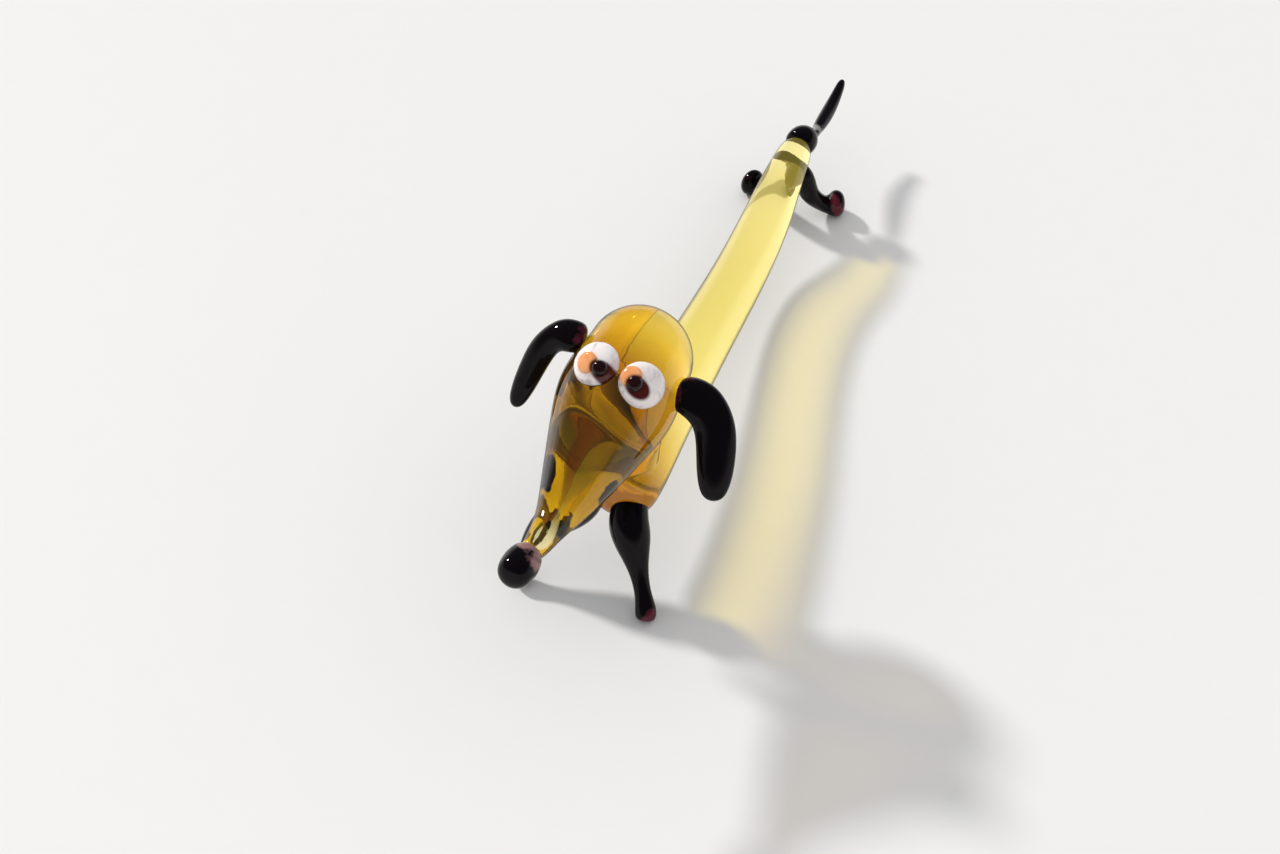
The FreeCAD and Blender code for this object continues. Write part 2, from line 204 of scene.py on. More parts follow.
class GlassColours(bpy.types.PropertyGroup):
    amber: colour("Amber", "What a thick piece of the amber glass lets through", "#FAF000")
    amber_depth: FloatProperty(
        name="Amber depth", description="Strength of the amber, per metre of glass", default=150.0)
    amethyst: colour("Amethyst", "What the dark glass lets through where it is thick", "#0B0608")
    # on the paws this wine-red is a painted glow, where light comes through them
    amethyst_thin_and_glow: colour("Thin amethyst", "What it lets through where it is thin", "#6A2233")
    white: colour("White", "Opaque white of the eyes", "#F3EAE6")
    streak: colour("Streak", "Grey-violet streaks in the white", "#C2B0B4")
    orange: colour("Orange", "Opaque orange of the irises", "#E8842E")
    ruby: colour("Ruby", "What the pupil beads let through", "#2C0705")
    # the smear is partly a thin spread of the pupil glass and partly the pupil's painted shadow
    smear: colour("Smear", "Dark red smear beside each pupil", "#4C0F08")
    nose_skin: colour("Nose skin", "Thin dark glass smeared over clear glass", "#B08480")
    tail_root: colour("Tail root", "Nearly clear glass at the root of the tail", "#B9B4AE")


class StudioSettings(bpy.types.PropertyGroup):
    floor: colour("Floor", "Pale sheet that the figurine stands on", "#EFECE8")
    key_power: FloatProperty(name="Key power", description="Strength of the low key light", default=2.4)
    fill_power: FloatProperty(name="Fill power", description="Strength of the overhead fill", default=1.6)
    sky_power: FloatProperty(name="Room light", description="Strength of the dim room", default=0.2)
    distance: length("Camera distance", "Camera to the point that it aims at", 245.5)
    lens: FloatProperty(name="Lens", description="Focal length in millimetres", default=67.5)


GROUPS = {
    "dachshund_trunk": TrunkSizes,
    "dachshund_head": HeadSizes,
    "dachshund_eyes": EyeSizes,
    "dachshund_ears": EarSizes,
    "dachshund_legs": LegSizes,
    "dachshund_rump": RumpSizes,
    "dachshund_glass": GlassColours,
    "dachshund_studio": StudioSettings,
}


# ================================================================ shared shapes
def mix(first, second, part):
    """The value that lies a part of the way from the first to the second."""
    return first + (second - first) * part


def at(x, y, z):
    return np.array((x, y, z), float)


def unit(vector):
    return vector / np.linalg.norm(vector, axis=-1, keepdims=True)


def spline_weights(rows, samples):
    """How much each row of control points counts at each step along a gather.

    The weights of a cubic B-spline, clamped at both ends and evenly knotted: steps of degree
    nought, each raised three times by the mean of its neighbours weighted by how far along it is.
    """
    degree = 3
    knots = np.concatenate(
        [np.zeros(degree), np.linspace(0, 1, rows - degree + 1), np.ones(degree)])
    along = np.linspace(0, 1, samples).clip(0, 1 - 1e-12)[:, None]
    weights = ((along >= knots[:-1]) & (along < knots[1:])).astype(float)
    for step in range(1, degree + 1):
        rise = (along - knots[:-step - 1]) / np.maximum(knots[step:-1] - knots[:-step - 1], 1e-12)
        fall = (knots[step + 1:] - along) / np.maximum(knots[step + 1:] - knots[1:-step], 1e-12)
        weights = rise * weights[:, :-1] + fall * weights[:, 1:]
    return weights


def gather(stations, up=UP, around=64, samples=120, marks=None):
    """A gather of glass drawn out along a line of stations and closed by a dome at both ends.

    A station is (centre, half width, half thickness) and may carry its own upward direction.
    Point(turn, along) = sum over the stations of weight(along) times
    (centre + cos(turn) * half width * across + sin(turn) * half thickness * upward),
    with the end centres doubled and given no radius, which rounds the ends off.
    Gives the points, the faces and, for each point, the marks blended the same way.
    """
    centres = np.array([station[0] for station in stations])
    halves = np.array([station[1:3] for station in stations])
    ups = np.array([station[3] if len(station) > 3 else up for station in stations], float)
    along = unit(np.vstack([centres[1:], centres[-1:]]) - np.vstack([centres[:1], centres[:-1]]))
    upward = unit(ups - (ups * along).sum(1, keepdims=True) * along)
    across = np.cross(upward, along) * halves[:, :1]
    upward = upward * halves[:, 1:]
    none = np.zeros((1, 3))
    weights = spline_weights(len(centres) + 2, samples)
    turn = np.linspace(0, 2 * math.pi, around, endpoint=False)[None, :, None]
    grid = (
        (weights @ np.vstack([centres[:1], centres, centres[-1:]]))[:, None]
        + np.cos(turn) * (weights @ np.vstack([none, across, none]))[:, None]
        + np.sin(turn) * (weights @ np.vstack([none, upward, none]))[:, None])
    points = np.vstack([grid[0, :1], grid[1:-1].reshape(-1, 3), grid[-1, :1]])
    here = np.arange(around)
    beside = (here + 1) % around
    first = 1 + np.arange(samples - 3)[:, None] * around
    walls = np.stack(
        [first + here, first + beside, first + around + beside, first + around + here], -1)
    last_ring = 1 + (samples - 3) * around
    back = np.stack([np.zeros(around, int), 1 + beside, 1 + here], -1)
    front = np.stack([np.full(around, len(points) - 1), last_ring + here, last_ring + beside], -1)
    faces = walls.reshape(-1, 4).tolist() + back.tolist() + front.tolist()
    if marks is None:
        return points, faces, np.zeros(len(points))
    marks = weights @ np.array([marks[0], *marks, marks[-1]], float)
    marks = np.concatenate([marks[:1], np.repeat(marks[1:-1], around), marks[-1:]])
    return points, faces, marks


def round_gather(plan, up, around, samples):
    """A gather that is round all along. Each row of its plan is (centre, radius, tone)."""
    stations = [(centre, wide, wide) for centre, wide, _ in plan]
    return gather(stations, up, around, samples, [tone for _, _, tone in plan])


def bead(seat, outward, radius, thickness, around=96, samples=80):
    """A flattened bead: a short gather along the outward direction, widest at its middle."""
    outward = unit(outward)
    long_way = at(*UP) - outward * outward[2]
    stations = [
        (seat + outward * thickness * level, radius * width, radius * width, long_way)
        for level, width in ((-0.92, 0.56), (-0.45, 1.02), (0.45, 1.02), (0.92, 0.56))]
    return gather(stations, UP, around, samples)


def on_one_side(shape, centre, way, reach):
    """Keep a shape's marks only on the side of a centre that faces the way given."""
    points, faces, marks = shape
    facing = (points - centre) @ unit(way) / reach
    return points, faces, marks * np.clip(0.5 + facing, 0.0, 1.0)


def seat_on(shape, inside, outward):
    """The point where a line from inside a shape comes out through its skin."""
    tree = BVHTree.FromPolygons(shape[0].tolist(), shape[1])
    spot = tree.ray_cast(Vector(inside), Vector(unit(outward)))[0]
    if spot is None:
        raise RuntimeError("the line doesn't come out through the skin of the shape")
    return at(*spot)


# ================================================================ where things are
class Dog:
    """The places that the pieces share, worked out from the sizes and the trunk's CAD node."""

    def __init__(self, scene):
        self.trunk = scene.dachshund_trunk
        self.head = scene.dachshund_head
        self.eyes = scene.dachshund_eyes
        self.ears = scene.dachshund_ears
        self.legs = scene.dachshund_legs
        self.rump = scene.dachshund_rump
        low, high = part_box("body")
        self.rump_end = at(0.0, high.y, self.trunk.rump_height)
        drawn = self.body()[0]
        self.rump_end[0] = (low.x + high.x) / 2 - (drawn[:, 0].min() + drawn[:, 0].max()) / 2
        self.chest = self.trunk_point(CHEST, self.trunk.chest_height)
        self.skull = self.chest + at(
            self.trunk.neck_lean, self.trunk.neck_set_back, self.trunk.neck_rise)
        turn = Matrix.Rotation(self.head.turn, 3, "Z") @ Matrix.Rotation(self.head.roll, 3, "Y")
        self.head_axes = np.array(turn)

    def trunk_point(self, part, height):
        """A point on the trunk's centre line, from the rump (0) to the front of the chest (1)."""
        return at(
            self.rump_end[0] + self.trunk.drift * part,
            self.rump_end[1] - self.trunk.length * part,
            height)

    def head_way(self, left, back, up):
        """A direction given the way the head faces."""
        return self.head_axes @ at(left, back, up)

    def head_point(self, left, back, up):
        """A point measured from the skull's centre, the way the head faces."""
        return self.skull + self.head_way(left, back, up)

    def body(self, inset=0.0, around=96, samples=420):
        """The trunk, thinned all round by the inset."""
        s = self.trunk
        plan = [
            # share of the length, height of the centre line, radius
            (0.000, s.rump_height, s.rump_end_radius),
            (0.037, s.rump_height, s.rump_radius),
            (0.116, mix(s.rump_height, s.belly_height, 0.20), mix(s.rump_radius, s.waist_radius, 0.4)),
            (0.211, s.belly_height, mix(s.rump_radius, s.waist_radius, 0.85)),
            (0.355, s.belly_height, s.waist_radius),
            (0.513, mix(s.belly_height, s.shoulder_height, 0.55),
             mix(s.waist_radius, s.shoulder_radius, 0.5)),
            (0.657, s.shoulder_height, s.shoulder_radius),
            (0.784, mix(s.shoulder_height, s.chest_height, 0.60),
             mix(s.shoulder_radius, s.chest_radius, 0.4)),
            (0.879, s.chest_height, mix(s.shoulder_radius, s.chest_radius, 0.8)),
            (CHEST, s.chest_height, s.chest_radius),
            (1.000, s.chest_height, s.chest_front_radius),
        ]
        stations = [
            (self.trunk_point(part, height), wide - inset, wide - inset)
            for part, height, wide in plan]
        return gather(stations, UP, around, samples)

    def neck(self):
        """The short neck, from the middle of the chest up to the skull."""
        plan = [(0.02, 0.90), (0.25, 1.00), (0.50, 1.00), (0.75, 0.95)]
        wide = self.trunk.neck_radius
        stations = [
            (mix(self.chest, self.skull, part), wide * width, wide * width) for part, width in plan]
        return gather(stations, (0, 1, 0), 96, 120)

    def head_shape(self, inset=0.0, around=128, samples=240):
        """The skull and snout, thinned all round by the inset."""
        s = self.head
        plan = [
            # shares of the snout's length, of its drop and of its bow, radius
            (0.19, 0.23, 0.0, s.cheek_radius),
            (0.35, 0.46, 0.3, s.snout_root_radius),
            (0.516, 0.72, 0.8, s.snout_middle_radius),
            (0.694, 0.92, 1.2, s.snout_slope_radius),
            (0.853, 1.02, 1.0, s.snout_tip_radius),
            (1.00, 0.93, 0.4, s.snout_tip_radius),
        ]
        # shares of the skull's radius: how far back, and half width; together they draw a ball
        dome = ((1.000, 0.322), (0.709, 0.815), (0.147, 1.019), (0.055, 0.967))
        stations = [
            (self.head_point(0, s.skull_set_back + s.skull_radius * back, 0),
             s.skull_radius * wide, s.skull_radius * wide)
            for back, wide in dome]
        for ahead, drop, bow, wide in plan:
            centre = self.head_point(s.snout_bow * bow, -s.snout_length * ahead, -s.snout_drop * drop)
            stations.append((centre, wide, wide))
        stations = [(centre, wide - inset, wide - inset) for centre, wide, _ in stations]
        return gather(stations, self.head_way(0, 0, 1), around, samples)

    def nose(self):
        """The ball on the snout's end, thinly smeared on at its back and upper left."""
        s = self.head
        start = s.snout_length - s.nose_overlap
        plan = [
            # share of the nose's length, radius as a share of the nose's, tone
            (0.00, 0.76, 1.0),
            (0.27, 0.97, 1.0),
            (0.58, 1.02, 0.9),
            (1.00, 0.84, 0.0),
        ]
        stations = []
        for part, width, tone in plan:
            centre = self.head_point(
                0, -start - s.nose_length * part, -s.snout_drop + s.nose_upturn * part)
            stations.append((centre, s.nose_radius * width, tone))
        shape = round_gather(stations, self.head_way(0, 0, 1), 96, 100)
        return on_one_side(shape, stations[1][0], self.head_way(1.0, 0.9, 0.7), s.nose_radius)

    def ear(self, side, word):
        """A drooping ear: out from the side of the skull, over, and down, flat way forward and up."""
        s = self.ears
        root_width, flap_width, forward, reach, splay, drop, lift = (
            getattr(s, size + "_" + word)
            for size in ("root", "flap", "forward", "reach", "splay", "drop", "lift"))
        root = at(self.head.skull_radius - s.sink, -s.set_forward, lift)
        flat = at(0.2, -0.68, 0.7)
        plan = [
            # shares of reach, splay, forward swing and drop; root to flap, width, thickness;
            # flat way; tone
            (0.10, 0.00, -0.05, 0.00, 0.00, 0.82, 1.15, at(0, 0, 1), 1.0),
            (0.36, 0.00, 0.00, -0.02, 0.00, 1.00, 1.15, at(side * 0.1, -0.3, 1), 0.6),
            (0.68, 0.00, 0.05, 0.01, 0.35, 1.05, 1.10, at(side * 0.3, -0.5, 0.8), 0.0),
            (0.94, 0.15, 0.20, 0.21, 0.80, 1.02, 1.03, flat, 0.0),
            (1.00, 0.45, 0.50, 0.535, 1.00, 0.98, 1.00, flat, 0.0),
            (1.00, 0.80, 0.82, 0.82, 1.00, 0.85, 0.90, flat, 0.0),
            (1.00, 1.00, 1.00, 1.00, 1.00, 0.50, 0.60, flat, 0.0),
        ]
        stations = []
        for out, apart, ahead, down, along, width, thick, way, _ in plan:
            left = side * (root[0] + reach * out + splay * apart)
            centre = self.head_point(left, root[1] - forward * ahead, root[2] - drop * down)
            half_width = mix(root_width, flap_width, along) * width
            stations.append((centre, half_width, s.half_thickness * thick, self.head_way(*way)))
        return gather(stations, UP, 96, 160, [row[-1] for row in plan])

    def eye(self, side, iris_place, pupil_place):
        """White, iris and pupil of one eye, each seated on the one under it."""
        s = self.eyes
        # the whites face up, forward and a little apart
        outward = unit(self.head_way(side * 0.30, -0.45, 0.84))
        left_way = self.head_way(1, 0, 0)
        left_way = unit(left_way - outward * (outward @ left_way))
        brow_way = np.cross(outward, left_way)
        under_eye = self.head_point(s.shift + side * (s.radius + s.gap / 2), -s.forward, 0)
        seat = seat_on(self.head_shape(), under_eye, self.head_way(0, 0, 1))
        white = bead(seat, outward, s.radius, s.thickness)
        layers = [white]
        smear_and_shadow_place = (pupil_place[0] + SMEAR_AND_SHADOW[0], pupil_place[1] + SMEAR_AND_SHADOW[1])
        middle = seat + (left_way * smear_and_shadow_place[0] + brow_way * smear_and_shadow_place[1]) * MM
        for place, radius, thickness in (
                (iris_place, s.iris_radius, s.iris_thickness),
                (pupil_place, s.pupil_radius, s.pupil_thickness)):
            under = seat + left_way * place[0] * MM + brow_way * place[1] * MM
            spot = seat_on(white, under, outward)
            tilt = outward * s.radius + left_way * place[0] * MM + brow_way * place[1] * MM
            layers.append(bead(spot, tilt, radius, thickness))
        return [self.smeared(layer, middle, left_way, brow_way) for layer in layers]

    def smeared(self, layer, middle, left_way, brow_way):
        """Mark the pupil's smear, partly the pupil's painted shadow: an oval, full inside, that fades out
        just past its edge.
        """
        points, faces, _ = layer
        s = self.eyes
        long_way = unit(left_way - 0.35 * brow_way)
        short_way = unit(brow_way + 0.35 * left_way)
        off = np.hypot(
            (points - middle) @ long_way / (s.pupil_radius * 1.75),
            (points - middle) @ short_way / (s.pupil_radius * 1.25))
        fade = np.clip((1.10 - off) / 0.30, 0.0, 1.0)
        return points, faces, fade * fade * (3 - 2 * fade)

    def stand(self, leg, glow_way):
        """Set a leg so that its paw's round dips just under the ground, then flatten it there."""
        lowest = leg(0.0)[0][:, 2].min()
        points, faces, marks = leg(-self.legs.sole_depth - lowest)
        points[:, 2] = np.maximum(points[:, 2], 0.0)
        paw = points[marks > 0.8 * marks.max()]
        # painted light: the paw's wine-red tone is kept to the side the light comes through, as a glow
        return on_one_side(
            (points, faces, marks), (paw.min(0) + paw.max(0)) / 2, glow_way, PAW_REACH)

    def foreleg(self, side, bow):
        """A foreleg: a thick shoulder in the chest, a knee, a thin ankle and a small paw."""
        s = self.legs
        out = s.shoulder_lean + side * (s.shoulder_radius + s.shoulder_gap / 2)
        shoulder = self.chest + at(out, -s.shoulder_forward, -s.shoulder_drop)
        root = mix(self.chest + at(out, 0, 0), shoulder, ROOT)

        def leg(lift):
            paw = at(
                self.rump_end[0] + side * s.forepaw_spread, self.chest[1] - s.forepaw_forward,
                s.forepaw_radius + lift)
            toe = paw + s.forepaw_radius * at(side * 0.08, -0.5, -0.5)
            plan = [
                # centre, radius, tone
                (root, s.shoulder_radius * 0.8, 0.0),
                (shoulder, s.shoulder_radius, 0.0),
                (mix(shoulder, paw, 0.24) + at(side * bow * 0.7, 0, 0), s.thigh_radius, 0.0),
                (mix(shoulder, paw, 0.52) + at(side * bow, 0, 0), s.knee_radius, 0.0),
                (mix(shoulder, paw, 0.80) + at(side * bow * 0.5, 0, 0), s.ankle_radius, 0.4),
                (paw, s.forepaw_radius, 1.0),
                (toe, s.forepaw_radius * 0.75, 1.0),
            ]
            return round_gather(plan, (1, 0, 0), 96, 200)

        return self.stand(leg, at(1.0, -0.4, 0.2))

    def hindleg(self, side, tone):
        """A hind leg: down from the haunch and out to a round paw that stands away from it."""
        s = self.legs
        haunch = self.rump_end + at(side * s.haunch_spread, -s.haunch_forward, -s.haunch_drop)

        def leg(lift):
            paw = at(
                self.rump_end[0] + side * s.hindpaw_spread, self.rump_end[1] - s.hindpaw_forward,
                s.hindpaw_radius + lift)
            fall = haunch[2] - paw[2]
            toe_way = at(side * s.hindpaw_radius, s.hindpaw_radius * 0.4, 0)
            plan = [
                # centre, radius, tone
                (haunch, s.hindleg_radius * 0.85, 0.0),
                (haunch + at(side * s.hindleg_bow_upper, 0, -fall * 0.25), s.hindleg_radius * 1.05, 0.0),
                (haunch + at(side * s.hindleg_bow_lower, 0, -fall * 0.65), s.hindleg_radius, 0.0),
                (paw - toe_way * 0.75 - at(0, 0, fall * 0.05), s.hindleg_ankle_radius, 0.0),
                (paw - toe_way * 0.25, s.hindpaw_radius * 0.95, tone),
                (paw + toe_way * 0.25, s.hindpaw_radius * 1.05, tone),
                (paw + toe_way * 0.60, s.hindpaw_radius * 0.55, tone),
            ]
            return round_gather(plan, (0, 1, 0.2), 96, 180)

        return self.stand(leg, at(-0.4, -1.0, 0.0))

    def rump_cap(self):
        """The round cap over the trunk's back end."""
        s = self.rump
        plan = [
            # share of the cap's length, share of its lift, radius as a share of the cap's, tone
            (0.00, 1.0, 0.85, 0.0),
            (0.31, 1.0, 1.00, 0.0),
            (0.75, 0.4, 0.92, 0.1),
            (1.00, 0.0, 0.58, 0.2),
        ]
        stations = []
        for part, lift, width, tone in plan:
            back = s.cap_length * part - s.cap_overlap
            centre = self.rump_end + at(s.tail_lean * part / 2, back, s.cap_lift * lift)
            stations.append((centre, s.cap_radius * width, tone))
        return round_gather(stations, UP, 96, 100)

    def tail(self):
        """A long thin spindle that starts inside the cap and hangs a little in its middle."""
        s = self.rump
        back = s.cap_length - s.cap_overlap - s.tail_overlap
        root = self.rump_end + at(s.tail_lean, back, -s.tail_set_down)
        plan = [
            # share of the tail's length, share of its dip, radius, tone
            (0.00, 0.0, s.tail_root_radius * 0.8, 1.0),
            (0.14, 0.2, s.tail_root_radius, 1.0),
            (0.37, 0.8, s.tail_middle_radius, 0.0),
            (0.61, 1.1, s.tail_middle_radius * 0.95, 0.0),
            (0.86, 0.8, mix(s.tail_middle_radius, s.tail_tip_radius, 0.6), 0.0),
            (1.00, 0.3, s.tail_tip_radius, 0.0),
        ]
        stations = []
        for part, dip, wide, tone in plan:
            centre = root + at(s.tail_swing * part, s.tail_length * part, -s.tail_dip * dip)
            stations.append((centre, wide, tone))
        return round_gather(stations, UP, 64, 160)


# ================================================================ finishes
def add(tree, kind, settings=None, **sockets):
    """Add a node. Its settings are set, and each input is set to a value or linked to an output."""
    node = tree.nodes.new(kind)
    for name, value in (settings or {}).items():
        setattr(node, name, value)
    for name, value in sockets.items():
        name = name.replace("_", " ")
        socket = node.inputs[int(name[1:])] if name[1:].isdigit() else node.inputs[name]
        if isinstance(value, bpy.types.NodeSocket):
            tree.links.new(value, socket)
        elif hasattr(value, "__len__") and len(value) == 3 and socket.type == "RGBA":
            socket.default_value = (*value, 1.0)
        else:
            socket.default_value = value
    return node


def new_material(name):
    """A material with no nodes yet, and its node tree."""
    material = bpy.data.materials.new(name)
    material.use_nodes = True
    material.node_tree.nodes.clear()
    return material, material.node_tree


def amber_glass(glass, dog):
    """Clear amber rod, drawn soft and flame-polished: a mirror-smooth skin, honey-yellow where it is
    thin and deep gold where it is thick, with faint lengthwise cords left by the drawing. The gather
    of the head and chest is tinted a deeper brown, partly its own colour and partly painted shade for
    the shadowed floor seen through it, and the snout is drawn out to a nearly clear end. Its edges
    carry a painted dark rim, and the trunk a faint painted glow. Light that crosses it on the way to
    the floor keeps its colour and thins out towards the edges."""
    material, tree = new_material("amber rod glass, flame-polished")
    place = add(tree, "ShaderNodeTexCoord")
    where = add(tree, "ShaderNodeSeparateXYZ", Vector=place.outputs["Object"])
    ahead = add(
        tree, "ShaderNodeMapRange", Value=where.outputs["Y"],
        From_Min=dog.head_point(0, dog.head.skull_radius * 1.5, 0)[1],
        From_Max=dog.head_point(0, -dog.head.snout_length, 0)[1])
    gather_tint_and_shade = add(tree, "ShaderNodeValToRGB", Fac=ahead.outputs[0])
    stops = (
        # share of the way from behind the skull to the snout's end, tint; the darker stops are partly the
        # glass's own deeper colour and partly painted shade
        (0.00, "#FFFEFA"), (0.16, "#FFFBB8"), (0.28, "#F2CC52"), (0.40, "#A87426"),
        (0.60, "#6C5A1E"), (0.80, "#A28E40"), (0.93, "#FFFEF8"))
    shades = gather_tint_and_shade.color_ramp.elements
    for (part, code), shade in zip(stops, [*shades, *(shades.new(0.5) for _ in stops[2:])]):
        shade.position = part
        shade.color = (*linear(code), 1.0)
    drawn = add(tree, "ShaderNodeMapping", Vector=place.outputs["Object"], Scale=(1.0, 0.06, 1.0))
    cords = add(tree, "ShaderNodeTexNoise", Vector=drawn.outputs[0], Scale=900.0, Detail=2.0)
    corded = add(
        tree, "ShaderNodeMix", {"data_type": "RGBA", "blend_type": "MULTIPLY"},
        Factor=cords.outputs[0], i6=gather_tint_and_shade.outputs[0], i7=linear("#FFFAEC"))
    slope = add(tree, "ShaderNodeLayerWeight", Blend=0.5)
    # painted shade: the tint turns dark brown where the skin is seen edge on
    edge_shade = add(
        tree, "ShaderNodeMapRange", Value=slope.outputs["Facing"], From_Min=0.72, From_Max=0.92)
    tint = add(
        tree, "ShaderNodeMix", {"data_type": "RGBA"}, Factor=edge_shade.outputs[0],
        i6=corded.outputs[2], i7=linear("#6E5218"))
    ripple = add(tree, "ShaderNodeTexNoise", Vector=place.outputs["Object"], Scale=260.0, Detail=1.0)
    skin = add(
        tree, "ShaderNodeBump", Strength=0.25, Distance=0.00002, Height=ripple.outputs[0])
    # painted glow: the trunk gives off a little light of its own, standing in for the light that the thin
    # rod gathers and gives back along its length
    painted_glow = add(
        tree, "ShaderNodeMapRange", Value=ahead.outputs[0], From_Max=0.34, To_Min=0.13,
        To_Max=0.0)
    body = add(
        tree, "ShaderNodeBsdfPrincipled", Base_Color=tint.outputs[2], Roughness=0.0, IOR=1.5,
        Transmission_Weight=1.0, Normal=skin.outputs[0], Emission_Color=linear("#FFE65A"),
        Emission_Strength=painted_glow.outputs[0])
    # painted shade: seen edge on, the skin is painted dark, standing in for the long way through the
    # glass and the shade seen through it
    edge = add(tree, "ShaderNodeBsdfDiffuse", Color=linear("#1C1404"))
    painted_edge_shade = add(
        tree, "ShaderNodeMath", {"operation": "MULTIPLY"}, i0=edge_shade.outputs[0], i1=0.7)
    edged = add(
        tree, "ShaderNodeMixShader", i0=painted_edge_shade.outputs[0], i1=body.outputs[0],
        i2=edge.outputs[0])
    height = add(
        tree, "ShaderNodeMapRange", Value=where.outputs["Z"],
        From_Min=dog.chest[2] + 0.3 * dog.trunk.chest_radius,
        From_Max=dog.chest[2] + 1.3 * dog.trunk.chest_radius)
    # the rod gathers light under its middle as a lens does, so its middle adds a little
    middle = add(
        tree, "ShaderNodeMix", {"data_type": "RGBA"}, Factor=height.outputs[0],
        i6=tuple(1.05 * part for part in linear("#FFF6B8")), i7=linear("#B3A058"))
    bend = add(
        tree, "ShaderNodeMapRange", Value=slope.outputs["Facing"], From_Min=0.05, From_Max=0.68)
    let_by = add(
        tree, "ShaderNodeMix", {"data_type": "RGBA"}, Factor=bend.outputs[0],
        i6=middle.outputs[2], i7=linear("#6E6A5E"))
    shade = add(tree, "ShaderNodeBsdfTransparent", Color=let_by.outputs[2])
    path = add(tree, "ShaderNodeLightPath")
    both = add(
        tree, "ShaderNodeMixShader", i0=path.outputs["Is Shadow Ray"], i1=edged.outputs[0],
        i2=shade.outputs[0])
    depth = add(
        tree, "ShaderNodeVolumeAbsorption", Color=tuple(glass.amber), Density=glass.amber_depth)
    add(tree, "ShaderNodeOutputMaterial", Surface=both.outputs[0], Volume=depth.outputs[0])
    return material


def amethyst_glass(glass, name, thin):
    """Near-black amethyst glass, flame-polished: black and glossy where it is thick. Where its tone
    is high it is a thin skin, mottled where it was smeared on, that shows the colour `thin`; on the paws
    the tone is a painted glow, for light that comes through them."""
    if name in bpy.data.materials:
        return bpy.data.materials[name]
    material, tree = new_material(name)
    place = add(tree, "ShaderNodeTexCoord")
    tone = add(tree, "ShaderNodeAttribute", {"attribute_name": "tone"})
    smear = add(
        tree, "ShaderNodeTexNoise", Vector=place.outputs["Object"], Scale=700.0, Detail=2.0)
    patchy = add(
        tree, "ShaderNodeMath", {"operation": "MULTIPLY"}, i0=tone.outputs["Fac"],
        i1=smear.outputs[0])
    edge = add(
        tree, "ShaderNodeMapRange", Value=patchy.outputs[0], From_Min=0.32, From_Max=0.50)
    tint = add(
        tree, "ShaderNodeMix", {"data_type": "RGBA"}, Factor=edge.outputs[0],
        i6=tuple(glass.amethyst), i7=thin)
    clear = add(
        tree, "ShaderNodeMapRange", Value=edge.outputs[0], To_Min=0.0, To_Max=0.35)
    ripple = add(tree, "ShaderNodeTexNoise", Vector=place.outputs["Object"], Scale=330.0, Detail=1.0)
    skin = add(
        tree, "ShaderNodeBump", Strength=0.3, Distance=0.00003, Height=ripple.outputs[0])
    body = add(
        tree, "ShaderNodeBsdfPrincipled", Base_Color=tint.outputs[2], Roughness=0.03, IOR=1.5,
        Specular_IOR_Level=0.15, Transmission_Weight=clear.outputs[0], Normal=skin.outputs[0])
    add(tree, "ShaderNodeOutputMaterial", Surface=body.outputs[0])
    return material


def with_smear_and_shadow(tree, glass, tint):
    """Lay the pupil's dark red smear over a tint, as strongly as the tone says: partly a thin spread of
    the pupil glass, partly its painted shadow.
    """
    tone = add(tree, "ShaderNodeAttribute", {"attribute_name": "tone"})
    return add(
        tree, "ShaderNodeMix", {"data_type": "RGBA"}, Factor=tone.outputs["Fac"],
        i6=tint.outputs[2], i7=tuple(glass.smear))


def white_glass(glass):
    """Opaque white glass, flame-polished: milky and glossy, with faint grey-violet streaks."""
    material, tree = new_material("opaque white glass, flame-polished")
    place = add(tree, "ShaderNodeTexCoord")
    pulled = add(tree, "ShaderNodeMapping", Vector=place.outputs["Object"], Scale=(1.0, 0.35, 1.0))
    streaks = add(
        tree, "ShaderNodeTexNoise", Vector=pulled.outputs[0], Scale=900.0, Detail=4.0,
        Distortion=1.5)
    faint = add(tree, "ShaderNodeMapRange", Value=streaks.outputs[0], From_Min=0.5, From_Max=0.8)
    tint = add(
        tree, "ShaderNodeMix", {"data_type": "RGBA"}, Factor=faint.outputs[0],
        i6=tuple(glass.white), i7=tuple(glass.streak))
    # painted shadow: the pupil's dark red smear laid over the white
    smeared = with_smear_and_shadow(tree, glass, tint)
    body = add(
        tree, "ShaderNodeBsdfPrincipled", Base_Color=smeared.outputs[2], Roughness=0.06, IOR=1.5)
    add(tree, "ShaderNodeOutputMaterial", Surface=body.outputs[0])
    return material


def orange_glass(glass):
    """Opaque orange glass, melted flat into the white: glossy, clouded with a paler orange."""
    material, tree = new_material("opaque orange glass, melted in")
    place = add(tree, "ShaderNodeTexCoord")
    clouds = add(tree, "ShaderNodeTexNoise", Vector=place.outputs["Object"], Scale=1200.0)
    tint = add(
        tree, "ShaderNodeMix", {"data_type": "RGBA"}, Factor=clouds.outputs[0],
        i6=tuple(glass.orange), i7=linear("#F6B988"))
    # painted shadow: the pupil's dark red smear laid over the orange
    smeared = with_smear_and_shadow(tree, glass, tint)
    body = add(
        tree, "ShaderNodeBsdfPrincipled", Base_Color=smeared.outputs[2], Roughness=0.08, IOR=1.5)
    add(tree, "ShaderNodeOutputMaterial", Surface=body.outputs[0])
    return material


